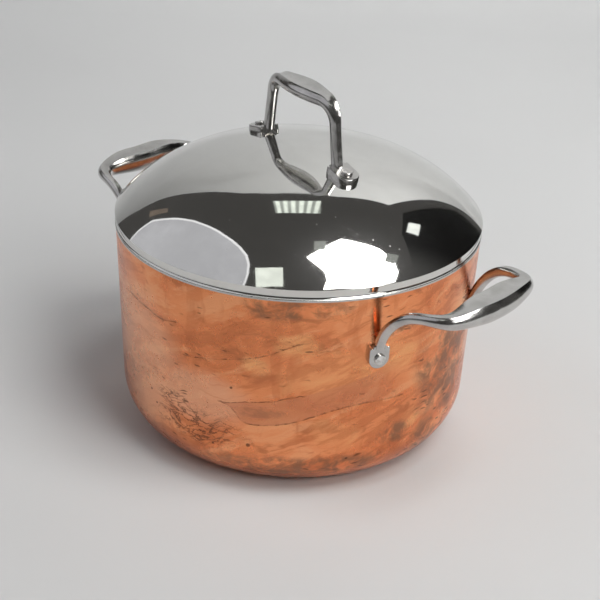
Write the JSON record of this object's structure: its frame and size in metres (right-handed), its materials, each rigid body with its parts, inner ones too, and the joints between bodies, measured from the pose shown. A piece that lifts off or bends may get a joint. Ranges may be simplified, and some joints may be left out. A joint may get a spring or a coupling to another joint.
{
  "type": "cooking pot",
  "caption": "Round copper casserole with a bonded steel lining, two cast loop handles riveted to its wall and a domed steel lid with a riveted arch handle that lifts off",
  "frame": {"origin": "middle of the base's flat underside, on the pot's axis", "axes": "+Z is the pot's axis, up out of the base. +X runs through the middle of the right side handle, so the two side handles span X. Y is across them"},
  "size_m": [0.3664, 0.2608, 0.2552],
  "materials": {
    "copper": "satin",
    "lining_steel": "satin",
    "lid_steel": "polished",
    "handle_steel": "polished",
    "rivet_steel": "polished"
  },
  "bodies": {
    "pot": {"copper_shell": "copper", "steel_lining": "lining_steel", "right_side_handle": "handle_steel", "left_side_handle": "handle_steel", "right_handle_rear_rivet": "rivet_steel", "right_handle_front_rivet": "rivet_steel", "left_handle_front_rivet": "rivet_steel", "left_handle_rear_rivet": "rivet_steel"},
    "lid": {"lid_shell": "lid_steel", "lid_handle": "handle_steel", "lid_handle_right_rivet": "rivet_steel", "lid_handle_left_rivet": "rivet_steel"}
  },
  "joints": [
    {"name": "lid_lift", "type": "slide", "parent": "pot", "child": "lid", "axis": [0, 0, 1], "range_m": [0, 0.12]}
  ]
}
